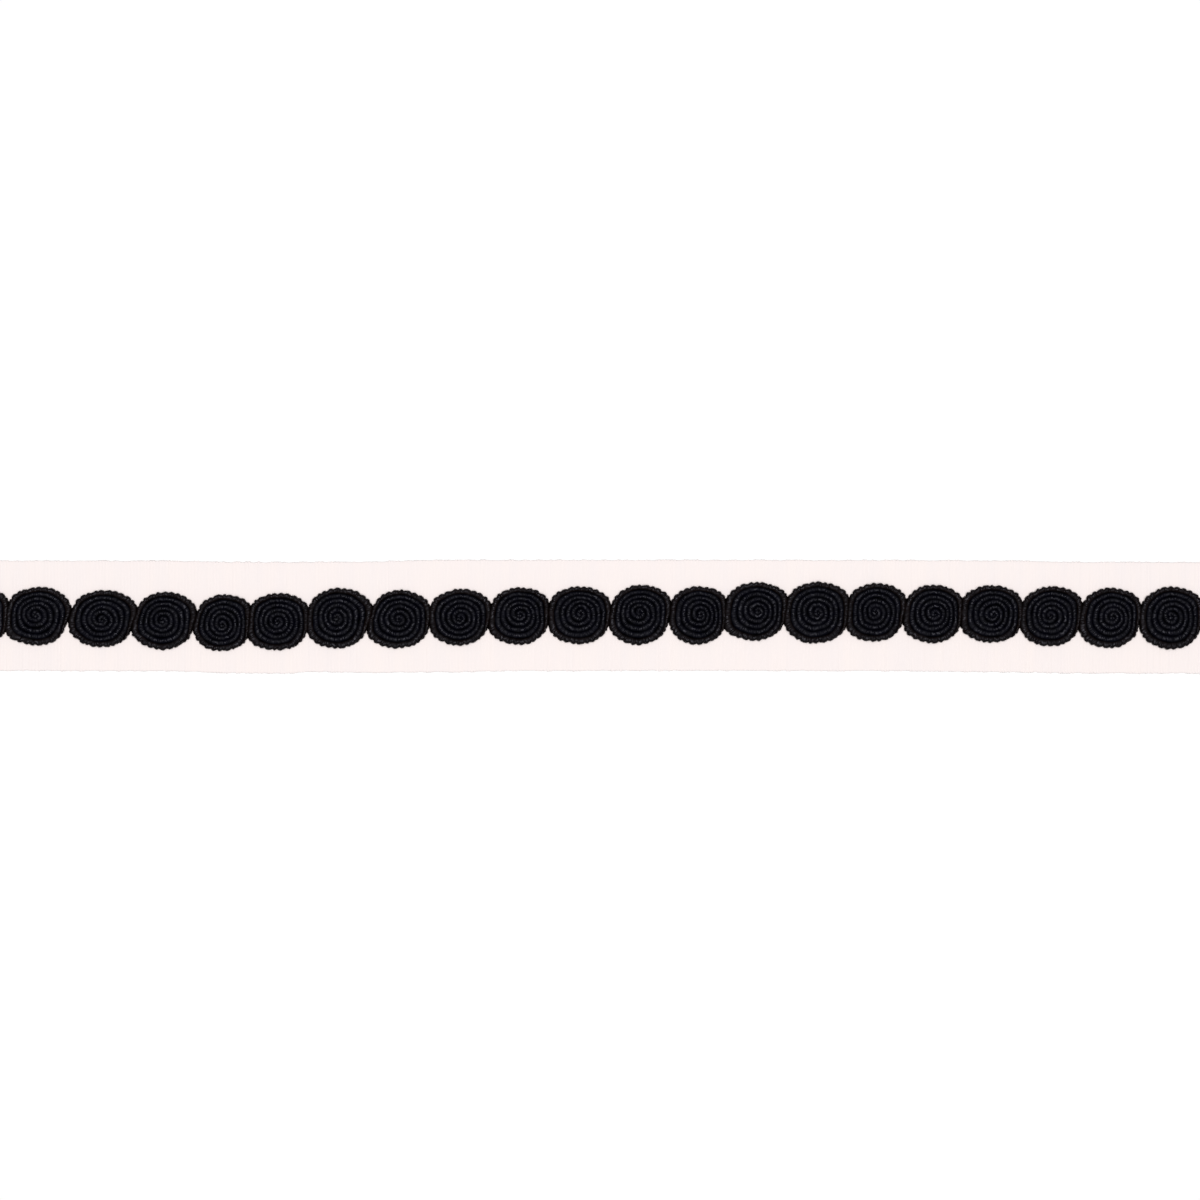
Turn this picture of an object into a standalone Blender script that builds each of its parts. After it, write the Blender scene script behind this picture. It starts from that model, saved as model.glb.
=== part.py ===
"""Tape trim: a flat woven tape with one row of coiled black cord sewn along its middle.

Metres, +Z up. The tape lies on Z = 0 and runs along X, with the middle of its back at the origin. Each round is one
length of wrapped cord, wound outward from its eye, clockwise seen from the front, and pressed against its neighbours.
"""

import math
from collections import namedtuple

import bmesh
import bpy

MM = 0.001

# The tape, cut square at both ends
TAPE_LENGTH = 460 * MM
TAPE_THICKNESS = 1.0 * MM
TAPE_SECTIONS = 46

# The cord, and how it sits
CORD_THICKNESS = 1.8 * MM
GROOVE_DEPTH = 0.6 * MM
PIECE_GAP = 0.3 * MM
FOOT_INSET = 0.35 * MM

# The winding. A share is a distance from the eye, as a part of the way to the outline
STEPS_PER_TURN = 24
CORD_STEPS = 124
TAIL_STEPS = 4
TAIL_ANGLE = math.radians(-60)
EYE_SHARE = 0.05
TURN_SHARE = 0.168
TIP_SHARE = 0.06
TIP_ANGLE = math.radians(-110)

# Each outline is drawn out towards its upper right, where the cord comes down against the next round
SKEW = 0.028
SHOULDER_SWELL = 0.014
SHOULDER_ANGLE = math.radians(45)

# At the two ends of the row a round meets nothing, and its side is only a little flat
FREE_FLAT = 5.0 * MM

TAPE_COLOUR = (0.983, 0.905, 0.888)
CORD_COLOUR = (0.0065, 0.006, 0.0078)

# The long edges of the tape in millimetres, a row for each place along it where an edge turns
Edge = namedtuple("Edge", "along lower upper")
EDGES = (
    Edge(-230.0, -18.4, 19.2),
    Edge(-153.0, -18.5, 19.1),
    Edge(-125.0, -19.3, 18.7),
    Edge(-112.0, -19.4, 18.6),
    Edge(-98.0, -18.7, 18.7),
    Edge(-84.0, -19.2, 18.8),
    Edge(-56.0, -18.9, 19.4),
    Edge(-29.0, -18.5, 19.4),
    Edge(34.0, -18.4, 19.4),
    Edge(96.0, -18.5, 19.3),
    Edge(137.0, -18.9, 19.2),
    Edge(165.0, -19.3, 18.7),
    Edge(230.0, -19.4, 18.6),
)

# The rounds in millimetres, a row for each from left to right: its size, how far it sits above the tape's middle,
# how tall its contact with the next round is, and how far its eye lies right of and above its middle
Round = namedtuple("Round", "width height rise contact eye_right eye_up")
ROUNDS = (
    Round(20.7, 20.0, 0.1, 11.7, 0.2, 0.1),
    Round(22.1, 20.0, 0.1, 6.6, -1.4, 0.3),
    Round(21.8, 19.7, -0.8, 10.7, -0.3, -0.2),
    Round(20.7, 19.7, -1.5, 8.3, -0.7, 0.2),
    Round(19.0, 19.3, -2.3, 11.4, 0.5, -0.3),
    Round(20.4, 19.7, -1.8, 9.3, -0.5, 0.2),
    Round(20.4, 20.7, -0.6, 10.4, -0.2, 0.0),
    Round(21.8, 20.0, -1.0, 8.3, 0.2, 0.3),
    Round(20.7, 19.3, -0.3, 9.0, 0.0, -0.3),
    Round(20.4, 19.7, 0.2, 8.3, 0.2, 0.5),
    Round(21.1, 20.0, 0.4, 8.6, 0.2, 0.7),
    Round(20.7, 20.4, 0.6, 8.6, -0.3, 0.9),
    Round(19.3, 20.0, 0.4, 10.7, 1.0, 0.3),
    Round(20.4, 20.0, 1.8, 10.4, 0.9, 0.0),
    Round(21.8, 21.1, 1.3, 11.4, 0.2, 0.2),
    Round(19.3, 20.0, 1.4, 10.4, -0.3, 0.0),
    Round(20.0, 20.0, 0.8, 10.4, 0.7, 0.3),
    Round(20.4, 19.7, 0.9, 10.4, 0.9, -0.2),
    Round(21.1, 20.7, 0.1, 11.4, -0.2, 0.3),
    Round(20.4, 20.7, -0.6, 8.3, 0.5, 0.3),
    Round(21.1, 21.4, -0.6, 10.0, 0.3, 0.7),
    Round(20.7, 20.4, -0.3, FREE_FLAT / MM, 0.1, 0.0),
)


def clear_scene():
    for old in list(bpy.data.objects):
        bpy.data.objects.remove(old, do_unlink=True)


def make_material(name, colour, roughness):
    material = bpy.data.materials.new(name)
    material.use_nodes = True
    shader = material.node_tree.nodes["Principled BSDF"]
    shader.inputs["Base Color"].default_value = (*colour, 1.0)
    shader.inputs["Roughness"].default_value = roughness
    shader.inputs["Metallic"].default_value = 0.0
    material.diffuse_color = (*colour, 1.0)
    return material


def make_object(name, bm, material):
    bmesh.ops.recalc_face_normals(bm, faces=bm.faces)
    mesh = bpy.data.meshes.new(name)
    bm.to_mesh(mesh)
    bm.free()
    mesh.materials.append(material)
    made = bpy.data.objects.new(name, mesh)
    bpy.context.collection.objects.link(made)
    return made


def edges_at(along):
    """The tape's lower and upper edge at this place, eased from one row of EDGES to the next, in millimetres."""
    for left, right in zip(EDGES, EDGES[1:]):
        if along <= right.along:
            break
    way = (along - left.along) / (right.along - left.along)
    eased = way * way * (3 - 2 * way)
    lower = left.lower + (right.lower - left.lower) * eased
    upper = left.upper + (right.upper - left.upper) * eased
    return lower, upper


def make_tape(material):
    """One flat sheet: a square section at each place along it, joined to the next, with both ends closed."""
    bm = bmesh.new()
    sections = []
    for i in range(TAPE_SECTIONS + 1):
        x = TAPE_LENGTH * (i / TAPE_SECTIONS - 0.5)
        lower, upper = (edge * MM for edge in edges_at(x / MM))
        corners = ((lower, 0.0), (upper, 0.0), (upper, TAPE_THICKNESS), (lower, TAPE_THICKNESS))
        sections.append([bm.verts.new((x, y, z)) for y, z in corners])
    for here, there in zip(sections, sections[1:]):
        for side in range(4):
            after = (side + 1) % 4
            bm.faces.new((here[side], here[after], there[after], there[side]))
    bm.faces.new(sections[0])
    bm.faces.new(sections[-1])
    return make_object("tape", bm, material)


def groove_share(step):
    """Where the groove on the inner side of the cord lies after this many steps. It climbs evenly from the eye, and
    meets the outline over the last steps, where the cord's end is tucked in."""
    even_steps = CORD_STEPS - TAIL_STEPS
    share = EYE_SHARE + TURN_SHARE * min(step, even_steps) / STEPS_PER_TURN
    if step > even_steps:
        share += (1 - share) * (step - even_steps) / TAIL_STEPS
    return share


def tail_fall(step):
    """How far the cord has sunk towards its side at this step: 0 along its length, 1 at its outer end."""
    return max(0.0, step - (CORD_STEPS - TAIL_STEPS)) / TAIL_STEPS


class Shape:
    """The outline of one round and the places inside it, from its row of ROUNDS and the contact on its left."""

    def __init__(self, row, contact_left):
        self.half_width = row.width / 2 * MM
        self.half_height = row.height / 2 * MM
        self.contact = {1: row.contact / 2 * MM, -1: contact_left / 2 * MM}
        self.eye = (row.eye_right * MM, row.eye_up * MM)

    def round_radius(self, angle):
        return 1 / math.hypot(math.cos(angle) / self.half_width, math.sin(angle) / self.half_height)

    def outline_radius(self, angle):
        """An ellipse that is cut flat where it meets each neighbour, as tall as their contact."""
        side = 1 if math.cos(angle) >= 0 else -1
        full_width = self.half_width / math.sqrt(1 - (self.contact[side] / self.half_height) ** 2)
        radius = 1 / math.hypot(math.cos(angle) / full_width, math.sin(angle) / self.half_height)
        radius *= 1 + SKEW * math.sin(2 * angle) + SHOULDER_SWELL * math.cos(angle - SHOULDER_ANGLE)
        reach = self.half_width - PIECE_GAP / 2
        return min(radius, reach / max(abs(math.cos(angle)), 0.01))

    def place(self, angle, share, height):
        """The point this share of the way out. Inner turns are rounder, and the outermost one has the outline."""
        blend = share * share
        radius = share * (self.round_radius(angle) * (1 - blend) + self.outline_radius(angle) * blend)
        x = radius * math.cos(angle) + self.eye[0] * (1 - share)
        y = radius * math.sin(angle) + self.eye[1] * (1 - share)
        return x, y, height


def make_round(name, shape, material):
    """One closed solid: the winding as a ridge between two grooves on top, a bulging side and a flat foot."""
    bm = bmesh.new()
    steps = STEPS_PER_TURN
    side_height = CORD_THICKNESS / 2
    groove_height = CORD_THICKNESS - GROOVE_DEPTH

    def angle_at(step):
        return TAIL_ANGLE + (CORD_STEPS - step) * math.tau / steps

    def outer_share(step):
        return groove_share(step + steps) if step + steps <= CORD_STEPS else 1.0

    grooves, ridges = [], []
    for step in range(CORD_STEPS + 1):
        fall = tail_fall(step)
        low = groove_height + (side_height - groove_height) * fall
        grooves.append(bm.verts.new(shape.place(angle_at(step), groove_share(step), low)))
    for step in range(CORD_STEPS):
        middle = (groove_share(step) + outer_share(step)) / 2
        high = CORD_THICKNESS + (side_height - CORD_THICKNESS) * tail_fall(step)
        ridges.append(bm.verts.new(shape.place(angle_at(step), middle, high)))

    # The outline goes once round from the cord's outer end, and its last point is its first
    outline = [grooves[-1]]
    for step in range(CORD_STEPS + 1, CORD_STEPS + steps):
        outline.append(bm.verts.new(shape.place(angle_at(step), 1.0, side_height)))
    outer_edge = grooves + outline[1:] + [grooves[-1]]

    for step in range(CORD_STEPS - 1):
        bm.faces.new((grooves[step], grooves[step + 1], ridges[step + 1], ridges[step]))
        outer = outer_edge[step + steps], outer_edge[step + steps + 1]
        bm.faces.new((ridges[step], ridges[step + 1], outer[1], outer[0]))
    bm.faces.new((grooves[-2], grooves[-1], ridges[-1]))
    bm.faces.new((ridges[-1], grooves[-1], outline[-1]))

    # The eye: the cord's inner tip, inside the first turn of the groove
    tip = bm.verts.new(shape.place(angle_at(0) + TIP_ANGLE, TIP_SHARE, CORD_THICKNESS))
    first_turn = grooves[: steps + 1] + [ridges[0]]
    for here, there in zip(first_turn, first_turn[1:] + first_turn[:1]):
        bm.faces.new((tip, here, there))

    foot_share = 1 - FOOT_INSET / shape.half_height
    foot = []
    for step in range(CORD_STEPS, CORD_STEPS + steps):
        foot.append(bm.verts.new(shape.place(angle_at(step), foot_share, 0.0)))
    for i in range(steps):
        after = (i + 1) % steps
        bm.faces.new((outline[i], outline[after], foot[after], foot[i]))
    bm.faces.new(foot)
    return make_object(name, bm, material)


def make_row(material):
    """The rounds side by side, with the middle of the row at the middle of the tape."""
    left_side = -sum(row.width for row in ROUNDS) / 2 * MM
    contact_left = FREE_FLAT / MM
    for number, row in enumerate(ROUNDS, start=1):
        made = make_round(f"coil_{number:02d}", Shape(row, contact_left), material)
        made.location = (left_side + row.width / 2 * MM, row.rise * MM, TAPE_THICKNESS + PIECE_GAP)
        left_side += row.width * MM
        contact_left = row.contact


def main():
    clear_scene()
    make_tape(make_material("Woven cotton tape", TAPE_COLOUR, 0.85))
    make_row(make_material("Wrapped black cord", CORD_COLOUR, 0.55))


main()
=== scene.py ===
# %% [markdown]
# # A tape trim with a row of coiled cord
# The real thing is sold by the metre, for curtains, cushions and clothes. A loom makes a flat cotton tape.
# A second worker winds short lengths of black wrapped cord into flat rounds, and sews them side by side
# along the middle of the tape. This script dresses the plain solids of the part with what the eye sees:
# threads, ribs, gloss and colour. All sizes are in metres. The tape lies along X, and Z points up out of
# its front.

# %% The frame
import math
from collections import namedtuple

import bmesh
import bpy
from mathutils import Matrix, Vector


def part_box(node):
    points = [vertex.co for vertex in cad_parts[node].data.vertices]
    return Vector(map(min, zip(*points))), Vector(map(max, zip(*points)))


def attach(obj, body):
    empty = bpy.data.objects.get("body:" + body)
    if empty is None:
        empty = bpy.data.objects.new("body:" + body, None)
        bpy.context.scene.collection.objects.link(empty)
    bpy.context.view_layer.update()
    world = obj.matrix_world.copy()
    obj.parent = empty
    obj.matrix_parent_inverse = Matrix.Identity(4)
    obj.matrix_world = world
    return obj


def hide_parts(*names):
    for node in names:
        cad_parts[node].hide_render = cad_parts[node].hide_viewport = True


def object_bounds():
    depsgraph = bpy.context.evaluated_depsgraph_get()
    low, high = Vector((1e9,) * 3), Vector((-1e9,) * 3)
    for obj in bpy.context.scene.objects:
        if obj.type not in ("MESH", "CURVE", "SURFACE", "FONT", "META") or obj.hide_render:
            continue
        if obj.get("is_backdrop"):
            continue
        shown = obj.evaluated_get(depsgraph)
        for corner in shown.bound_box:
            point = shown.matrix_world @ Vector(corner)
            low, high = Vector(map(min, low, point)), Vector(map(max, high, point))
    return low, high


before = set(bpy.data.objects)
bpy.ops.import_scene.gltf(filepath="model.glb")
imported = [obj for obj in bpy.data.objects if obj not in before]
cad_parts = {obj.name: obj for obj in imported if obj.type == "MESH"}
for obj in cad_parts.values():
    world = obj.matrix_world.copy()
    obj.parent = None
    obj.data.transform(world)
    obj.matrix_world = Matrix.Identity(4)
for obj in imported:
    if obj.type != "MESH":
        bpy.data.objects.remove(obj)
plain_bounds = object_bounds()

MM = 0.001
plain_sides = [[round(float(side) / MM, 2) for side in corner] for corner in plain_bounds]
print("the plain solids span", plain_sides, "mm")

# %% [markdown]
# ## The camera
# The trim is photographed from straight above, as a flat sample on a table is. A long lens keeps the rounds
# at both sides as flat as the middle one. Its height follows from the length of tape that it has to take
# in: with a sensor 36 mm wide, the view is as wide as the height times 36 over the focal length.

# %% The camera, straight above
VIEW_WIDTH = 414.6 * MM
VIEW_MIDDLE = Vector((-1.5 * MM, 5.8 * MM, 2.0 * MM))
SENSOR = 36.0
LENS = 120.0

camera_data = bpy.data.cameras.new("camera")
camera_data.sensor_width = SENSOR
camera_data.lens = LENS
camera = bpy.data.objects.new("camera", camera_data)
camera.location = VIEW_MIDDLE + Vector((0, 0, VIEW_WIDTH * LENS / SENSOR))
bpy.context.collection.objects.link(camera)
bpy.context.scene.camera = camera
print("the camera hangs", round(camera.location.z, 3), "m above the table")

# %% [markdown]
# ## Light
# White goods are lit by one very large soft box overhead and by white walls, so they throw no shadow that
# shows. The soft box is what the cord's ridges mirror: each ridge carries a soft line of light along its
# top, and the grooves between them stay black. A plain colour transform keeps white at white, because the
# default one would grey it.

# %% The soft box and the white room
ROOM_LIGHT = 0.22
SOFT_BOX_SIZE = 1.7
SOFT_BOX_HEIGHT = 2.4
SOFT_BOX_WATTS = 57.0

scene = bpy.context.scene
scene.view_settings.view_transform = "Standard"
scene.world = bpy.data.worlds.new("white room")
scene.world.use_nodes = True
scene.world.node_tree.nodes["Background"].inputs["Color"].default_value = (1.0, 1.0, 1.0, 1.0)
scene.world.node_tree.nodes["Background"].inputs["Strength"].default_value = ROOM_LIGHT

soft_box_data = bpy.data.lights.new("soft box", "AREA")
soft_box_data.size = SOFT_BOX_SIZE
soft_box_data.energy = SOFT_BOX_WATTS
soft_box = bpy.data.objects.new("soft box", soft_box_data)
soft_box.location = (0, 0, SOFT_BOX_HEIGHT)
bpy.context.collection.objects.link(soft_box)
print("the soft box is", SOFT_BOX_SIZE, "m wide and", SOFT_BOX_HEIGHT, "m up")

# %% [markdown]
# ## Helpers for materials and node trees
# A colour is easiest to read as the hex value that a paint program shows. The renderer counts light, so the
# value is turned from sRGB to linear once, here. A node tree, for a material or for geometry, is a list of
# nodes and links, and one small function adds a node, sets it and links it.


# %% Colours and nodes
def linear(hex_colour):
    """The linear colour of an sRGB hex value, with an alpha of 1."""
    channels = (int(hex_colour[i:i + 2], 16) / 255 for i in (1, 3, 5))
    return (*(c / 12.92 if c <= 0.04045 else ((c + 0.055) / 1.055) ** 2.4 for c in channels), 1.0)


def add(tree, kind, inputs=None, **settings):
    """Adds a node and sets it. An input that gets a node or a socket is linked, and any other is set."""
    node = tree.nodes.new(kind)
    for name, value in settings.items():
        setattr(node, name, value)
    for key, value in (inputs or {}).items():
        if isinstance(value, bpy.types.Node):
            value = value.outputs[0]
        if isinstance(value, bpy.types.NodeSocket):
            tree.links.new(value, node.inputs[key])
        else:
            node.inputs[key].default_value = value
    return node


def new_material(name):
    """An empty material, with its tree, its shader and the place of the point that is looked at."""
    material = bpy.data.materials.new(name)
    material.use_nodes = True
    tree = material.node_tree
    place = tree.nodes.new("ShaderNodeTexCoord").outputs["Object"]
    return material, tree, tree.nodes["Principled BSDF"], place


# The two colours of a Mix node are its inputs 6 and 7, and the mixed colour is its output 2
FIRST_COLOUR, SECOND_COLOUR = 6, 7
MIXED_COLOUR = 2
print("half grey is", round(linear("#808080")[0], 3), "of white in light")

# %% [markdown]
# ## The table
# A white card, lit until it is pure white, shows nothing but the trim. It is a plain sheet just under the
# tape.

# %% The white card
CARD_SIZE = 3.0
CARD_DROP = 0.1 * MM

card_paint, tree, shader, place = new_material("Matt white card")
shader.inputs["Base Color"].default_value = linear("#FAFAFA")
shader.inputs["Roughness"].default_value = 0.9
shader.inputs["Specular IOR Level"].default_value = 0.1

bpy.ops.mesh.primitive_plane_add(size=CARD_SIZE, location=(0, 0, -CARD_DROP))
card = bpy.context.object
card.name = "card"
card.data.materials.append(card_paint)
card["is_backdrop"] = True
print("the card is", CARD_SIZE, "m wide")

# %% [markdown]
# ## Bleached cotton
# The tape is cotton, spun, woven and bleached, and then left a little pink. Cotton is matt: its short
# fibres scatter light, so it has hardly any gloss. Its crosswise threads take the bleach unevenly. What the
# eye gets is a warm white with faint bands across the tape. The crosswise ribs are modelled below. The much
# finer warp threads, 0.4 mm apart along the tape, are bump.

# %% The tape's finish
WARP_SPACING = 0.4 * MM
SLUB_LENGTH = 9.0 * MM
BLEACH_BAND = 5.0 * MM
BLEACH_LENGTH = 40.0 * MM

cotton, tree, shader, place = new_material("Bleached woven cotton")
crosswise = add(tree, "ShaderNodeMapping", {
    "Vector": place, "Scale": (1 / BLEACH_BAND, 1 / BLEACH_LENGTH, 1.0)})
bands = add(tree, "ShaderNodeTexNoise", {"Vector": crosswise, "Scale": 1.0, "Detail": 4.0})
bleach = add(tree, "ShaderNodeMix", {
    "Factor": bands, FIRST_COLOUR: linear("#F9EEEA"), SECOND_COLOUR: linear("#F2EAEA")}, data_type="RGBA")
long_way = add(tree, "ShaderNodeMapping", {
    "Vector": place, "Scale": (1 / SLUB_LENGTH, 1 / WARP_SPACING, 1.0)})
warp = add(tree, "ShaderNodeTexNoise", {"Vector": long_way, "Scale": 1.0, "Detail": 1.0})
shader.inputs["Roughness"].default_value = 0.88
shader.inputs["Specular IOR Level"].default_value = 0.15
tree.links.new(bleach.outputs[MIXED_COLOUR], shader.inputs["Base Color"])
warp_bump = add(tree, "ShaderNodeBump", {"Height": warp, "Strength": 0.25, "Distance": 0.12 * MM})
tree.links.new(warp_bump.outputs[0], shader.inputs["Normal"])
print("the tape's finish is", cotton.name)

# %% [markdown]
# ## Black wrapped cord
# The cord is a soft core wrapped in viscose, a shiny fibre made from wood pulp, dyed black. Each wrap runs
# across the cord, so its filaments catch the light as short strokes. A filament is finer than a hair, so
# the strokes drawn here are bundles of them, 0.4 mm wide, which is coarser than they are but shows. The dye
# is a blue black. It has rusted a little to brown on the outermost turn, where hands and light reach it.
# Black cord on a white ground is photographed nearly without gloss, so the specular level is low, and what
# gloss there is looks a little blue. The flecks are where the fibre lies smoother or rougher.

# %% The cord's finish
FILAMENT = 0.4 * MM
FILAMENT_LENGTH = 2.2 * MM
CORD_GIRTH = 5.6 * MM
DYE_PATCH = 2.4 * MM
FLECK = 2.2 * MM
RUST_START = 0.78
RUST_FULL = 0.95

viscose, tree, shader, place = new_material("Black viscose wrap")
along = add(tree, "ShaderNodeAttribute", attribute_name="along").outputs["Fac"]
around = add(tree, "ShaderNodeAttribute", attribute_name="around").outputs["Fac"]
way_out = add(tree, "ShaderNodeAttribute", attribute_name="way_out").outputs["Fac"]
stroke_x = add(tree, "ShaderNodeMath", {0: along, 1: 1 / FILAMENT}, operation="MULTIPLY")
stroke_y = add(tree, "ShaderNodeMath", {0: around, 1: CORD_GIRTH / FILAMENT_LENGTH}, operation="MULTIPLY")
stroke = add(tree, "ShaderNodeCombineXYZ", {"X": stroke_x, "Y": stroke_y})
filaments = add(tree, "ShaderNodeTexNoise", {"Vector": stroke, "Scale": 1.0, "Detail": 1.0})
dye = add(tree, "ShaderNodeTexNoise", {"Vector": place, "Scale": 1 / DYE_PATCH, "Detail": 4.0})
rust = add(tree, "ShaderNodeMapRange", {"Value": way_out, "From Min": RUST_START, "From Max": RUST_FULL})
black = add(tree, "ShaderNodeMix", {
    "Factor": rust, FIRST_COLOUR: linear("#010106"), SECOND_COLOUR: linear("#0A0402")}, data_type="RGBA")
deep = add(tree, "ShaderNodeMapRange", {
    "Value": dye, "From Min": 0.35, "From Max": 0.65, "To Min": 0.55, "To Max": 1.5})
dyed = add(tree, "ShaderNodeVectorMath", {0: black.outputs[MIXED_COLOUR], "Scale": deep}, operation="SCALE")
tree.links.new(dyed.outputs[0], shader.inputs["Base Color"])
flecks = add(tree, "ShaderNodeTexNoise", {
    "Vector": place, "Scale": 1 / FLECK, "Detail": 5.0, "Roughness": 0.65})
gloss = add(tree, "ShaderNodeMapRange", {
    "Value": flecks, "From Min": 0.35, "From Max": 0.65, "To Min": 0.18, "To Max": 0.66})
tree.links.new(gloss.outputs[0], shader.inputs["Roughness"])
shader.inputs["Specular IOR Level"].default_value = 0.155
shader.inputs["Specular Tint"].default_value = linear("#F0EFFF")
filament_bump = add(tree, "ShaderNodeBump", {"Height": filaments, "Strength": 0.6, "Distance": 0.12 * MM})
tree.links.new(filament_bump.outputs[0], shader.inputs["Normal"])
print("the cord's finish is", viscose.name)

# %% [markdown]
# ## From a node tree to a plain piece
# Both main pieces are grown by Geometry Nodes from a line of points. The line is a mesh of edges, and each
# point can carry numbers of its own, such as how wide the cord is there. When the tree has run, its result
# is copied into a plain mesh, and the line is thrown away. What is left is an ordinary object with its
# place in its own points.


# %% Lines and grown pieces
def new_line(name, points, numbers):
    """A mesh of edges through the points. Each list in numbers is stored on the points under its name."""
    mesh = bpy.data.meshes.new(name)
    mesh.from_pydata(points, [(i, i + 1) for i in range(len(points) - 1)], [])
    for label, values in numbers.items():
        if isinstance(values[0], float):
            mesh.attributes.new(label, "FLOAT", "POINT").data.foreach_set("value", values)
        else:
            flat = [part for value in values for part in value]
            mesh.attributes.new(label, "FLOAT_VECTOR", "POINT").data.foreach_set("vector", flat)
    line = bpy.data.objects.new(name, mesh)
    bpy.context.collection.objects.link(line)
    return line


def new_tree(name, inputs):
    """A Geometry Nodes tree whose named inputs have these kinds, and its group input and output."""
    tree = bpy.data.node_groups.new(name, "GeometryNodeTree")
    tree.interface.new_socket("Line", in_out="INPUT", socket_type="NodeSocketGeometry")
    for label, kind in inputs.items():
        tree.interface.new_socket(label, in_out="INPUT", socket_type="NodeSocket" + kind)
    tree.interface.new_socket("Piece", in_out="OUTPUT", socket_type="NodeSocketGeometry")
    return tree, tree.nodes.new("NodeGroupInput").outputs, tree.nodes.new("NodeGroupOutput").inputs


def grow(name, line, tree, values, thickness=0.0):
    """Runs the tree on the line with these values, and keeps the result as a plain mesh object."""
    modifier = line.modifiers.new(tree.name, "NODES")
    modifier.node_group = tree
    for socket in tree.interface.items_tree:
        if socket.in_out == "INPUT" and socket.name in values:
            modifier[socket.identifier] = values[socket.name]
    if thickness:
        wall = line.modifiers.new("thickness", "SOLIDIFY")
        wall.thickness = thickness
        wall.offset = -1.0
    evaluated = line.evaluated_get(bpy.context.evaluated_depsgraph_get())
    mesh = bpy.data.meshes.new_from_object(evaluated)
    mesh.name = name
    bpy.data.objects.remove(line)
    bm = bmesh.new()
    bm.from_mesh(mesh)
    bmesh.ops.recalc_face_normals(bm, faces=bm.faces)
    bm.to_mesh(mesh)
    bm.free()
    piece = bpy.data.objects.new(name, mesh)
    bpy.context.collection.objects.link(piece)
    return piece


print("pieces are grown from lines of points")

# %% [markdown]
# ## The tape's ribs
# A ribbed tape has thick weft threads running across it, close together, under thin warp threads. So its
# face is a row of round ribs, 1.1 mm apart. Where the weft turns back at each side it leaves a small loop,
# and the last warp threads are packed tighter: that is the woven edge, or selvedge, a thin raised line. The
# edges aren't ruled lines, because the tape gives where the rounds are sewn on. The tree lays a fine grid
# between the two edges of the plain solid, and raises the ribs and both selvedges in its points. A rib is
# four rows of points, enough to look round.

# %% The tree of the tape
tape_tree, given, made = new_tree("woven tape", {
    "Length": "Float", "Rows": "Int", "Columns": "Int", "Height": "Float", "Rib spacing": "Float",
    "Rib height": "Float", "Loop": "Float", "Selvedge": "Float", "Seed": "Float", "Finish": "Material"})
grid = add(tape_tree, "GeometryNodeMeshGrid", {
    "Size X": 1.0, "Size Y": 1.0, "Vertices X": given["Columns"], "Vertices Y": given["Rows"]})
spot = add(tape_tree, "ShaderNodeSeparateXYZ", {0: add(tape_tree, "GeometryNodeInputPosition")})
share = add(tape_tree, "ShaderNodeMath", {0: spot.outputs["X"], 1: 0.5}, operation="ADD")
x = add(tape_tree, "ShaderNodeMath", {0: spot.outputs["X"], 1: given["Length"]}, operation="MULTIPLY")
middle = add(tape_tree, "GeometryNodeSampleCurve", {
    "Curves": add(tape_tree, "GeometryNodeMeshToCurve", {0: given["Line"]}),
    "Value": add(tape_tree, "GeometryNodeInputNamedAttribute", {"Name": "half_breadth"}), "Factor": share})
middle_y = add(tape_tree, "ShaderNodeSeparateXYZ", {0: middle.outputs["Position"]}).outputs["Y"]

# Across the tape, from -1 to 1, with the rows drawn together towards both sides
SIDE_CROWDING = 0.29
flat_way = add(tape_tree, "ShaderNodeMath", {0: spot.outputs["Y"], 1: math.tau}, operation="MULTIPLY")
wave_way = add(tape_tree, "ShaderNodeMath", {0: flat_way}, operation="SINE")
even = add(tape_tree, "ShaderNodeMath", {0: spot.outputs["Y"], 1: 2.0}, operation="MULTIPLY")
across = add(tape_tree, "ShaderNodeMath", {0: wave_way, 1: SIDE_CROWDING, 2: even}, operation="MULTIPLY_ADD")

# The ribs, unevenly beaten up: each is a rounded wave, a little early or late and a little high or low
UNEVEN_LENGTH = 6.0 * MM
UNEVEN_STEP = 0.35
BEATS_A_METRE = (450.0, 70.0, 0.0)
drift_way = add(tape_tree, "ShaderNodeMath", {
    0: x, 1: 1 / UNEVEN_LENGTH, 2: given["Seed"]}, operation="MULTIPLY_ADD")
drift = add(tape_tree, "ShaderNodeTexNoise", {
    "W": drift_way, "Scale": 1.0, "Detail": 2.0}, noise_dimensions="1D")
count = add(tape_tree, "ShaderNodeMath", {0: x, 1: given["Rib spacing"]}, operation="DIVIDE")
phase = add(tape_tree, "ShaderNodeMath", {
    0: add(tape_tree, "ShaderNodeMath", {0: drift, 1: UNEVEN_STEP, 2: count}, operation="MULTIPLY_ADD"),
    1: math.pi}, operation="MULTIPLY")
rib = add(tape_tree, "ShaderNodeMath", {
    0: add(tape_tree, "ShaderNodeMath", {0: phase}, operation="SINE")}, operation="ABSOLUTE")
off_middle = add(tape_tree, "ShaderNodeMath", {0: across, 1: middle.outputs["Value"]}, operation="MULTIPLY")
place_now = add(tape_tree, "ShaderNodeCombineXYZ", {"X": x, "Y": off_middle})
beat_way = add(tape_tree, "ShaderNodeVectorMath", {0: place_now, 1: BEATS_A_METRE}, operation="MULTIPLY")
beat = add(tape_tree, "ShaderNodeTexNoise", {
    "Vector": beat_way, "Scale": 1.0, "Detail": 1.0}, noise_dimensions="3D")
strength = add(tape_tree, "ShaderNodeMapRange", {
    "Value": beat, "From Min": 0.3, "From Max": 0.7, "To Min": 0.1, "To Max": 2.2})
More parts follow.
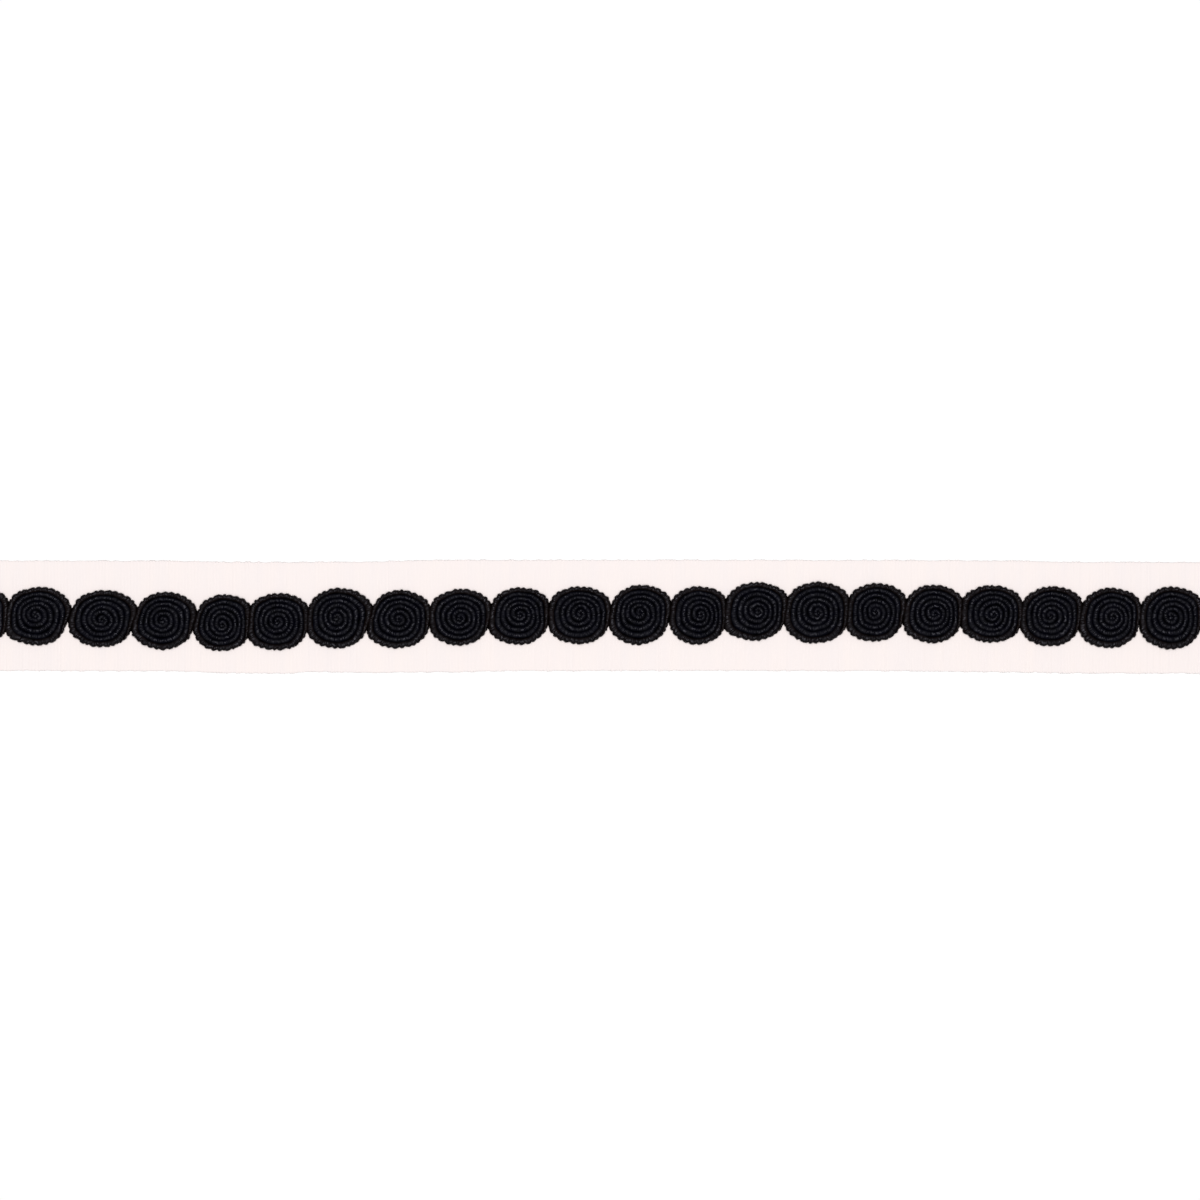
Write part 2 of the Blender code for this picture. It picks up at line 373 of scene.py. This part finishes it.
rib_rise = add(tape_tree, "ShaderNodeMath", {
    0: add(tape_tree, "ShaderNodeMath", {0: rib, 1: given["Rib height"]}, operation="MULTIPLY"),
    1: strength}, operation="MULTIPLY")

# The selvedge: a groove, a raised line outside it, the weft's loops in the outline, and a slight curl down
SELVEDGE_WIDTH = 1.1 * MM
SIDE_ZONE = 2.5 * SELVEDGE_WIDTH
SIDE_FALL = 3.0
CURL = 0.15 * MM
outward_share = add(tape_tree, "ShaderNodeMath", {0: across}, operation="ABSOLUTE")
share_left = add(tape_tree, "ShaderNodeMath", {0: 1.0, 1: outward_share}, operation="SUBTRACT")
from_side = add(tape_tree, "ShaderNodeMath", {
    0: share_left, 1: middle.outputs["Value"]}, operation="MULTIPLY")
inward = add(tape_tree, "ShaderNodeMapRange", {
    "Value": from_side, "From Min": 0.0, "From Max": SIDE_ZONE, "To Min": 0.0, "To Max": 1.5 * math.pi})
edge_wave = add(tape_tree, "ShaderNodeMath", {0: inward}, operation="SINE")
edge_rise = add(tape_tree, "ShaderNodeMath", {0: edge_wave, 1: given["Selvedge"]}, operation="MULTIPLY")
near_side = add(tape_tree, "ShaderNodeMapRange", {
    "Value": from_side, "From Min": 0.0, "From Max": SIDE_ZONE, "To Min": 1.0, "To Max": 0.0})
side_share = add(tape_tree, "ShaderNodeMath", {0: near_side, 1: SIDE_FALL}, operation="POWER")
edge_here = add(tape_tree, "ShaderNodeMath", {0: edge_rise, 1: near_side}, operation="MULTIPLY")
loop_out = add(tape_tree, "ShaderNodeMath", {
    0: add(tape_tree, "ShaderNodeMath", {0: rib, 1: given["Loop"]}, operation="MULTIPLY"), 1: strength},
    operation="MULTIPLY")
loop_here = add(tape_tree, "ShaderNodeMath", {0: loop_out, 1: side_share}, operation="MULTIPLY")
half = add(tape_tree, "ShaderNodeMath", {0: middle.outputs["Value"], 1: loop_here}, operation="ADD")
y = add(tape_tree, "ShaderNodeMath", {0: across, 1: half, 2: middle_y}, operation="MULTIPLY_ADD")
curl = add(tape_tree, "ShaderNodeMath", {0: side_share, 1: -CURL, 2: edge_here}, operation="MULTIPLY_ADD")
rise = add(tape_tree, "ShaderNodeMath", {0: rib_rise, 1: curl}, operation="ADD")
z = add(tape_tree, "ShaderNodeMath", {0: rise, 1: given["Height"]}, operation="ADD")
spot = add(tape_tree, "ShaderNodeCombineXYZ", {"X": x, "Y": y, "Z": z})
woven = add(tape_tree, "GeometryNodeSetPosition", {"Geometry": grid.outputs["Mesh"], "Position": spot})
smooth = add(tape_tree, "GeometryNodeSetShadeSmooth", {"Geometry": woven})
real = add(tape_tree, "GeometryNodeRealizeInstances", {"Geometry": smooth})
finished = add(tape_tree, "GeometryNodeSetMaterial", {"Geometry": real, "Material": given["Finish"]})
tape_tree.links.new(finished.outputs[0], made["Piece"])
print("the tape's tree has", len(tape_tree.nodes), "nodes")

# %% [markdown]
# ## The tape
# The two long edges are read from the plain solid's own points, and measured again every 5 mm. The middle
# between them, with half the breadth stored on each point, makes the line that the tree follows.

# %% The tape, woven between its edges
RIB_SPACING = 1.1 * MM
RIB_HEIGHT = 0.09 * MM
LOOP_REACH = 0.25 * MM
SELVEDGE_HEIGHT = 0.1 * MM
POINTS_PER_RIB = 4
TAPE_ROWS = 24
TAPE_THICKNESS = 0.8 * MM
TAPE_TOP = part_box("tape")[1].z - RIB_HEIGHT / 2
WEAVE_SEED = 3.7
EDGE_STEPS = 92


def edge_at(edge, x):
    """How far across the tape this edge lies here, read between its two nearest points."""
    for left, right in zip(edge, edge[1:]):
        if x <= right[0]:
            break
    way = min(1.0, (x - left[0]) / (right[0] - left[0]))
    return left[1] + (right[1] - left[1]) * way


corners = {(round(v.co.x, 5), round(v.co.y, 5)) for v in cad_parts["tape"].data.vertices}
lower_edge = sorted(corner for corner in corners if corner[1] < 0)
upper_edge = sorted(corner for corner in corners if corner[1] > 0)
tape_start, tape_end = lower_edge[0][0], lower_edge[-1][0]
tape_length = tape_end - tape_start
tape_points, half_breadths = [], []
for step in range(EDGE_STEPS + 1):
    x = tape_start + tape_length * step / EDGE_STEPS
    lower, upper = edge_at(lower_edge, x), edge_at(upper_edge, x)
    tape_points.append((x, (lower + upper) / 2, 0.0))
    half_breadths.append((upper - lower) / 2)

tape_line = new_line("tape_line", tape_points, {"half_breadth": half_breadths})
woven_tape = grow("woven_tape", tape_line, tape_tree, {
    "Length": tape_length, "Rows": TAPE_ROWS,
    "Columns": round(tape_length / RIB_SPACING) * POINTS_PER_RIB + 1, "Height": TAPE_TOP,
    "Rib spacing": RIB_SPACING, "Rib height": RIB_HEIGHT, "Loop": LOOP_REACH, "Selvedge": SELVEDGE_HEIGHT,
    "Seed": WEAVE_SEED, "Finish": cotton}, thickness=TAPE_THICKNESS)
print("the tape has", len(woven_tape.data.polygons), "faces")

# %% [markdown]
# ## The wrapped cord
# The cord is swept along its path: a ring of points every 0.17 mm. A wrap is 0.7 mm wide on the real cord
# and 0.95 mm here, a little coarser so that it shows. Each gets five rings, so its round back is in the
# mesh and not only in the gloss. Under the wraps lie two twisted strands, which make the cord swell every
# 2.15 mm: that is the scalloped outline of each round. Inside the round the neighbours press the swellings
# flat, and the section is a rounded box, as wide as the room between two neighbouring turns.

# %% The tree of the cord
cord_tree, given, made = new_tree("wrapped cord", {
    "Ring spacing": "Float", "Sides": "Int", "Wrap": "Float", "Wrap height": "Float", "Strand": "Float",
    "Strand height": "Float", "Wander": "Float", "Seed": "Float", "Finish": "Material"})
rings = add(cord_tree, "GeometryNodeResampleCurve", {
    "Curve": add(cord_tree, "GeometryNodeMeshToCurve", {0: given["Line"]}), "Length": given["Ring spacing"]},
    mode="LENGTH")
held = add(cord_tree, "GeometryNodeStoreNamedAttribute", {
    "Geometry": rings, "Name": "middle", "Value": add(cord_tree, "GeometryNodeInputPosition")},
    data_type="FLOAT_VECTOR")
ring = add(cord_tree, "GeometryNodeCurvePrimitiveCircle", {"Resolution": given["Sides"], "Radius": 1.0})
way_round = add(cord_tree, "GeometryNodeSplineParameter").outputs["Factor"]
marked = add(cord_tree, "GeometryNodeStoreNamedAttribute", {
    "Geometry": ring, "Name": "around", "Value": way_round})
tube = add(cord_tree, "GeometryNodeCurveToMesh", {"Curve": held, "Profile Curve": marked, "Fill Caps": True})

along = add(cord_tree, "GeometryNodeInputNamedAttribute", {"Name": "along"})
around = add(cord_tree, "GeometryNodeInputNamedAttribute", {"Name": "around"})
half_width = add(cord_tree, "GeometryNodeInputNamedAttribute", {"Name": "half_width"})
half_height = add(cord_tree, "GeometryNodeInputNamedAttribute", {"Name": "half_height"})
free = add(cord_tree, "GeometryNodeInputNamedAttribute", {"Name": "free"})
middle = add(cord_tree, "GeometryNodeInputNamedAttribute", {"Name": "middle"}, data_type="FLOAT_VECTOR")
outward = add(cord_tree, "GeometryNodeInputNamedAttribute", {"Name": "outward"}, data_type="FLOAT_VECTOR")

# The angle round the section starts underneath, where the seam is hidden, and runs outwards and up
turn = add(cord_tree, "ShaderNodeMath", {0: around, 1: math.tau}, operation="MULTIPLY")

# Neighbouring turns press the round section flat: a power below 1 turns the ellipse into a rounded box
BOXED = 0.8
ways = []
for wave in ("SINE", "COSINE"):
    round_way = add(cord_tree, "ShaderNodeMath", {0: turn}, operation=wave)
    size = add(cord_tree, "ShaderNodeMath", {0: round_way}, operation="ABSOLUTE")
    boxed = add(cord_tree, "ShaderNodeMath", {0: size, 1: BOXED}, operation="POWER")
    sign = add(cord_tree, "ShaderNodeMath", {0: round_way}, operation="SIGN")
    ways.append(add(cord_tree, "ShaderNodeMath", {0: boxed, 1: sign}, operation="MULTIPLY"))
sideways, upright = ways

# Wraps: how far along the cord, counted in wraps by an uneven hand, less the helix's part of a turn
UNEVEN_WRAPS = 3.0 * MM
UNEVEN_WRAP_STEP = 2.0
FIBRES_A_METRE = 700.0
hand = add(cord_tree, "ShaderNodeTexNoise", {
    "W": add(cord_tree, "ShaderNodeMath", {0: along, 1: 1 / UNEVEN_WRAPS, 2: given["Seed"]},
             operation="MULTIPLY_ADD"), "Scale": 1.0, "Detail": 2.0}, noise_dimensions="1D")
wraps = add(cord_tree, "ShaderNodeMath", {
    0: hand, 1: UNEVEN_WRAP_STEP,
    2: add(cord_tree, "ShaderNodeMath", {0: along, 1: given["Wrap"]}, operation="DIVIDE")},
    operation="MULTIPLY_ADD")
wrap_phase = add(cord_tree, "ShaderNodeMath", {0: wraps, 1: around}, operation="SUBTRACT")
wrap_wave = add(cord_tree, "ShaderNodeMath", {
    0: add(cord_tree, "ShaderNodeMath", {0: wrap_phase, 1: math.pi}, operation="MULTIPLY")}, operation="SINE")
wrap_back = add(cord_tree, "ShaderNodeMath", {0: wrap_wave}, operation="ABSOLUTE")
fibres = add(cord_tree, "ShaderNodeTexNoise", {
    "Vector": middle, "W": given["Seed"], "Scale": FIBRES_A_METRE, "Detail": 2.0}, noise_dimensions="4D")
loose = add(cord_tree, "ShaderNodeMapRange", {
    "Value": fibres, "From Min": 0.3, "From Max": 0.7, "To Min": 0.1, "To Max": 2.1})
even_rise = add(cord_tree, "ShaderNodeMath", {0: wrap_back, 1: given["Wrap height"]}, operation="MULTIPLY")
wrap_rise = add(cord_tree, "ShaderNodeMath", {0: even_rise, 1: loose}, operation="MULTIPLY")

# Strands: the same with their own spacing. They swell fully on the free side of the outermost turn. The
# lull is how far below the top of a swelling the cord's own size lies
UNEVEN_STRAND_STEP = 0.9
LULL = 0.75
PRESSED = 0.5
strands = add(cord_tree, "ShaderNodeMath", {
    0: hand, 1: UNEVEN_STRAND_STEP,
    2: add(cord_tree, "ShaderNodeMath", {0: along, 1: given["Strand"]}, operation="DIVIDE")},
    operation="MULTIPLY_ADD")
strand_phase = add(cord_tree, "ShaderNodeMath", {0: strands, 1: around}, operation="ADD")
strand_angle = add(cord_tree, "ShaderNodeMath", {0: strand_phase, 1: math.pi}, operation="MULTIPLY")
strand_wave = add(cord_tree, "ShaderNodeMath", {0: strand_angle}, operation="SINE")
strand_back = add(cord_tree, "ShaderNodeMath", {0: strand_wave}, operation="ABSOLUTE")
swell = add(cord_tree, "ShaderNodeMath", {0: strand_back, 1: LULL}, operation="SUBTRACT")
outer_side = add(cord_tree, "ShaderNodeMath", {0: sideways, 1: free}, operation="MULTIPLY")
room = add(cord_tree, "ShaderNodeMapRange", {
    "Value": outer_side, "From Min": 0.0, "From Max": 0.8, "To Min": PRESSED, "To Max": 1.0})
full_swell = add(cord_tree, "ShaderNodeMath", {0: swell, 1: given["Strand height"]}, operation="MULTIPLY")
strand_rise = add(cord_tree, "ShaderNodeMath", {0: full_swell, 1: room}, operation="MULTIPLY")
raised = add(cord_tree, "ShaderNodeMath", {0: wrap_rise, 1: strand_rise}, operation="ADD")

# The point: out and up from the middle of the cord. A pressed side has no relief, and the cord's underside
# is spread against its neighbours by the stitches, so that no gap opens down to the tape. The whole cord
# wanders a little, and most near the eye, where the winding starts by hand
SIDE_WRAPS = 0.25
SPREAD = 1.35
WANDERS_A_METRE = 220.0
on_side = add(cord_tree, "ShaderNodeMath", {
    0: wrap_rise, 1: SIDE_WRAPS, 2: strand_rise}, operation="MULTIPLY_ADD")
with_room = add(cord_tree, "ShaderNodeMapRange", {"Value": outer_side, "From Min": 0.0, "From Max": 0.5})
side_relief = add(cord_tree, "ShaderNodeMath", {0: on_side, 1: with_room}, operation="MULTIPLY")
held_in = add(cord_tree, "ShaderNodeMath", {0: 1.0, 1: free}, operation="SUBTRACT")
under = add(cord_tree, "ShaderNodeMath", {0: upright, 1: held_in}, operation="MULTIPLY")
spread = add(cord_tree, "ShaderNodeMapRange", {
    "Value": under, "From Min": 0.0, "From Max": 0.6, "To Min": 1.0, "To Max": SPREAD})
wide = add(cord_tree, "ShaderNodeMath", {
    0: add(cord_tree, "ShaderNodeMath", {0: half_width, 1: spread}, operation="MULTIPLY"), 1: side_relief},
    operation="ADD")
tall = add(cord_tree, "ShaderNodeMath", {0: half_height, 1: raised}, operation="ADD")
out = add(cord_tree, "ShaderNodeVectorMath", {
    0: outward, "Scale": add(cord_tree, "ShaderNodeMath", {0: wide, 1: sideways}, operation="MULTIPLY")},
    operation="SCALE")
down = add(cord_tree, "ShaderNodeMath", {0: tall, 1: upright}, operation="MULTIPLY")
up = add(cord_tree, "ShaderNodeCombineXYZ", {
    "Z": add(cord_tree, "ShaderNodeMath", {0: down, 1: -1.0}, operation="MULTIPLY")})
wander = add(cord_tree, "ShaderNodeTexNoise", {
    "Vector": middle, "W": given["Seed"], "Scale": WANDERS_A_METRE, "Detail": 1.0},
    noise_dimensions="4D")
centred = add(cord_tree, "ShaderNodeVectorMath", {0: wander.outputs["Color"], 1: (0.5, 0.5, 0.5)},
              operation="SUBTRACT")
way_out = add(cord_tree, "GeometryNodeInputNamedAttribute", {"Name": "way_out"})
by_hand = add(cord_tree, "ShaderNodeMapRange", {
    "Value": way_out, "From Min": 0.1, "From Max": 0.6, "To Min": 1.6, "To Max": 1.0})
shift = add(cord_tree, "ShaderNodeVectorMath", {
    0: centred,
    "Scale": add(cord_tree, "ShaderNodeMath", {0: by_hand, 1: given["Wander"]}, operation="MULTIPLY")},
    operation="SCALE")
spot = add(cord_tree, "ShaderNodeVectorMath", {0: middle, 1: out}, operation="ADD")
spot = add(cord_tree, "ShaderNodeVectorMath", {0: spot, 1: up}, operation="ADD")
spot = add(cord_tree, "ShaderNodeVectorMath", {0: spot, 1: shift}, operation="ADD")
shaped = add(cord_tree, "GeometryNodeSetPosition", {"Geometry": tube, "Position": spot})
smooth = add(cord_tree, "GeometryNodeSetShadeSmooth", {"Geometry": shaped})
real = add(cord_tree, "GeometryNodeRealizeInstances", {"Geometry": smooth})
finished = add(cord_tree, "GeometryNodeSetMaterial", {"Geometry": real, "Material": given["Finish"]})
cord_tree.links.new(finished.outputs[0], made["Piece"])
print("the cord's tree has", len(cord_tree.nodes), "nodes")

# %% [markdown]
# ## How a round is wound
# The worker starts at the eye, winds the cord outwards, clockwise seen from the front, and tucks its end
# under at the lower right. A true spiral would have a step in its outline there. Pressing and sewing push
# that step back into the outer turns, so the outline is closed. Under the eye lies the cord's first end,
# bent into a tight hook and pressed down, so that no tape shows through. A share says how far out a place
# is: 0 at the eye and 1 at the outline.

# %% The winding
TURNS = 5 + 1 / 6
TAIL_ANGLE = math.radians(-60)
TAIL_TURN = 1 / 6
EYE_SHARE = 0.05
TURN_SHARE = 0.168
HOOK_TURN = 1.3


def outline_share(turns_left):
    """How far out an unpressed spiral reaches at this angle. It has a step where the cord's end is."""
    left = turns_left % 1.0
    full = EYE_SHARE + TURN_SHARE * (TURNS + 1 - max(left, TAIL_TURN))
    closed = EYE_SHARE + TURN_SHARE * TURNS
    return closed + (full - closed) * min(1.0, left / TAIL_TURN)


def pressed(share, limit):
    """Where this share of the unpressed spiral ends up. Only the outer turns take up the step."""
    return share / (1 + (limit - 1) * (share / limit) ** 2)


def cord_sides(turn):
    """The shares of the cord's inner and outer side after this many turns. Before 0 comes the hook."""
    limit = outline_share(TURNS - turn)
    inner = max(EYE_SHARE + TURN_SHARE * turn, EYE_SHARE - TURN_SHARE / 2)
    return pressed(inner, limit), pressed(min(inner + TURN_SHARE, limit), limit)


print("the cord makes", round(TURNS + HOOK_TURN, 2), "turns in each round")

# %% [markdown]
# ## The shape of each round
# No two rounds are alike. Their widths, heights and places come from the plain solids. What the solids
# don't tell is how neighbours meet and where each eye sits, so two short tables hold it, in millimetres.
# Where the cord of one round comes down against the next, it pushes the upper end of their contact to the
# right: so the contacts lean.

# %% How neighbours meet, and the eyes
# A row for each contact: where its upper and lower end lie above the tape's middle, how far its upper end
# leans to the right, and how far the whole contact lies right of the middle between the two solids
Contact = namedtuple("Contact", "top bottom lean shift")
CONTACTS = (
    Contact(2.6, -2.4, 0.0, 0.0),
    Contact(5.9, -5.8, 1.0, 0.0),
    Contact(3.3, -2.8, 1.6, -0.4),
    Contact(3.6, -5.6, 2.1, 0.1),
    Contact(2.6, -5.2, 1.4, 0.4),
    Contact(4.3, -7.6, 1.0, 0.2),
    Contact(3.6, -5.9, 0.4, -0.1),
    Contact(4.0, -5.6, 2.1, 1.0),
    Contact(4.3, -4.5, 0.2, 0.0),
    Contact(5.0, -4.5, 0.9, -0.1),
    Contact(5.4, -3.8, 0.2, -0.2),
    Contact(5.0, -3.8, 0.7, 0.0),
    Contact(6.0, -2.8, 0.9, 0.1),
    Contact(6.7, -4.5, 0.4, -0.2),
    Contact(7.1, -3.1, 1.2, 0.3),
    Contact(7.4, -4.2, 0.9, 0.0),
    Contact(6.7, -2.8, 1.4, 0.3),
    Contact(6.7, -3.8, 0.5, 0.0),
    Contact(5.7, -4.5, 0.9, 0.3),
    Contact(5.4, -5.2, 1.4, -0.4),
    Contact(5.0, -3.8, 0.7, -0.2),
    Contact(5.0, -5.2, 0.9, 0.0),
    Contact(2.2, -2.8, 0.0, 0.0),
)

# A row for each round: how far its eye lies right of and above its middle
Eye = namedtuple("Eye", "right up")
EYES = (
    Eye(0.2, 0.1), Eye(-1.4, 0.3), Eye(-0.3, -0.2), Eye(-0.7, 0.2), Eye(0.5, -0.3), Eye(-0.5, 0.2),
    Eye(-0.2, 0.0), Eye(0.2, 0.3), Eye(0.0, -0.3), Eye(0.2, 0.5), Eye(0.2, 0.7), Eye(-0.3, 0.9),
    Eye(1.0, 0.3), Eye(0.9, 0.0), Eye(0.2, 0.2), Eye(-0.3, 0.0), Eye(0.7, 0.3), Eye(0.9, -0.2),
    Eye(-0.2, 0.3), Eye(0.5, 0.3), Eye(0.3, 0.7), Eye(0.1, 0.0),
)
print(len(EYES), "rounds meet at", len(CONTACTS) - 2, "contacts")

# %% The outline of a round
PIECE_GAP = 0.3 * MM
TOUCH = 0.2 * MM
CORNER_SHARPNESS = 14
SKEW = 0.013
HIGHEST_END = 0.8
FREE_AT = 0.06


class Outline:
    """The outline of one round, about its middle: quarters of ellipses, cut off at each contact."""

    def __init__(self, node, eye, left, right):
        low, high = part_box(node)
        self.middle = (low + high) / 2
        self.half_width = (high.x - low.x + PIECE_GAP) / 2
        self.half_height = (high.y - low.y) / 2
        self.contacts = {1: right, -1: left}
        self.eye = Vector((eye.right * MM, eye.up * MM, 0.0))

    def contact_line(self, side):
        """Where the contact's line crosses the level of the middle, and how far it leans for a metre up."""
        contact = self.contacts[side]
        lean = contact.lean / (contact.top - contact.bottom)
        above = (contact.top + contact.bottom) / 2 * MM - self.middle.y
        return side * (self.half_width + TOUCH) + contact.shift * MM - lean * above, lean

    def full_radius(self, angle):
        """The quarter ellipse through the round's top or bottom and the end of the contact."""
        side = 1 if math.cos(angle) >= 0 else -1
        contact = self.contacts[side]
        end = (contact.top if math.sin(angle) >= 0 else contact.bottom) * MM - self.middle.y
        start, lean = self.contact_line(side)
        end_share = min(HIGHEST_END, abs(end) / self.half_height)
        full_width = abs(start + lean * end) / math.sqrt(1 - end_share ** 2)
        leaning = 1 + SKEW * math.sin(2 * angle)
        return leaning / math.hypot(math.cos(angle) / full_width, math.sin(angle) / self.half_height)

    def reach(self, angle):
        """How far the contact's line lies from the middle at this angle."""
        side = 1 if math.cos(angle) >= 0 else -1
        start, lean = self.contact_line(side)
        return abs(start) / max(side * (math.cos(angle) - lean * math.sin(angle)), 0.01)

    def radius(self, angle):
        """The outline itself: the ellipse or the contact's line, whichever is nearer, round at the corner."""
        pressed_in = self.full_radius(angle) / self.reach(angle)
        return self.full_radius(angle) * (1 + pressed_in ** CORNER_SHARPNESS) ** (-1 / CORNER_SHARPNESS)

    def freedom(self, angle):
        """1 where the outermost turn meets nothing, and 0 where a neighbour presses it."""
        return min(1.0, max(0.0, (1 - self.full_radius(angle) / self.reach(angle)) / FREE_AT))

    def place(self, angle, share):
        """The point this share of the way out, from the middle of the round. Inner turns are rounder."""
        across, up = math.cos(angle), math.sin(angle)
        round_radius = 1 / math.hypot(across / self.half_width, up / self.half_height)
        blend = share * share
        radius = share * (round_radius * (1 - blend) + self.radius(angle) * blend)
        return Vector((across, up, 0.0)) * radius + self.eye * (1 - share)


print("a turn of the cord takes up", TURN_SHARE, "of the way out")

# %% [markdown]
# ## The rounds
# Each round is its own piece, because each is its own length of cord. Its path has 60 points a turn, and
# each point carries the half width, the half height, the way outwards, how far along the cord it is and how
# free it lies. At the outer end the cord thins and sinks. At the eye it sinks into the hook, which ends in
# a blunt, rounded tip.

# %% The path of a cord
POINTS_PER_TURN = 60
CORD_HALF_HEIGHT = 0.93 * MM
SIDE_PRESS = 1.08
TAIL_DEPTH = 0.5
EYE_DEPTH = 0.65
HOOK_LEVEL = 0.15
LAST_TURN = 1.05
LAST_TURN_EASE = 0.1
TIP_LENGTH = 0.25 * MM
TIP_AREA = 0.02
TIP_HEIGHT = 0.4


def cord_path(outline):
    """The points of one cord and the numbers on them."""
    points = []
    numbers = {"half_width": [], "half_height": [], "outward": [], "along": [], "free": [], "way_out": []}
    length = 0.0
    first = -round(HOOK_TURN * POINTS_PER_TURN) + 1
    for step in range(first, round(TURNS * POINTS_PER_TURN) + 1):
        turn = step / POINTS_PER_TURN
        angle = TAIL_ANGLE + (TURNS - turn) * math.tau
        inner_share, outer_share = cord_sides(turn)
        inner, outer = outline.place(angle, inner_share), outline.place(angle, outer_share)
        tail = max(0.0, 1 - (TURNS - turn) / TAIL_TURN)
        sunk = min(1.0, max(0.0, -turn - HOOK_LEVEL))
        half_height = CORD_HALF_HEIGHT * (1 - TAIL_DEPTH * tail * tail - EYE_DEPTH * sunk)
        point = outline.middle + (inner + outer) / 2
        point.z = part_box("tape")[1].z + half_height
        on_last_turn = min(1.0, max(0.0, (turn - TURNS + LAST_TURN) / LAST_TURN_EASE))
        step_length = (point - points[-1]).length if points else 0.0
        length += step_length
        numbers["along"].append(length)
        points.append(point)
        numbers["half_width"].append((outer - inner).length / 2 * SIDE_PRESS)
        numbers["half_height"].append(half_height)
        numbers["outward"].append(Vector((math.cos(angle), math.sin(angle), 0.0)))
        numbers["free"].append(outline.freedom(angle) * on_last_turn)
        numbers["way_out"].append((inner_share + outer_share) / 2)
    for i, distance in enumerate(numbers["along"]):
        blunt = math.sqrt(max(TIP_AREA, 1 - max(0.0, 1 - distance / TIP_LENGTH) ** 2))
        numbers["half_width"][i] *= blunt
        numbers["half_height"][i] *= TIP_HEIGHT + (1 - TIP_HEIGHT) * blunt
    return points, numbers


# %% Winding all the rounds
RING_SPACING = 0.17 * MM
SECTION_SIDES = 12
WRAP = 0.95 * MM
WRAP_HEIGHT = 0.17 * MM
STRAND = 2.15 * MM
STRAND_HEIGHT = 0.55 * MM
WANDER = 0.9 * MM
SEED_STEP = 7.3

rounds = []
cord_lengths = []
for number, eye in enumerate(EYES, start=1):
    node = f"coil_{number:02d}"
    points, numbers = cord_path(Outline(node, eye, CONTACTS[number - 1], CONTACTS[number]))
    line = new_line(node + "_line", points, numbers)
    wound = grow("wound_" + node, line, cord_tree, {
        "Ring spacing": RING_SPACING, "Sides": SECTION_SIDES, "Wrap": WRAP, "Wrap height": WRAP_HEIGHT,
        "Strand": STRAND, "Strand height": STRAND_HEIGHT, "Wander": WANDER, "Seed": SEED_STEP * number,
        "Finish": viscose})
    rounds.append(wound)
    cord_lengths.append(round(numbers["along"][-1] / MM))
faces = sum(len(wound.data.polygons) for wound in rounds)
print(len(rounds), "rounds have", faces, "faces, and their cords are", cord_lengths, "mm long")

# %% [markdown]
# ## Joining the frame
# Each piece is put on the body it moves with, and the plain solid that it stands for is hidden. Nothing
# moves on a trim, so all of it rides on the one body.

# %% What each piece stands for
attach(woven_tape, "root")
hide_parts("tape")
for number, wound in enumerate(rounds, start=1):
    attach(wound, "root")
    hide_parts(f"coil_{number:02d}")

# %% The sizes before and after
sizes = {"plain": plain_bounds, "dressed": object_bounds()}
sizes = {name: [[float(side) for side in corner] for corner in box] for name, box in sizes.items()}
print(sizes)
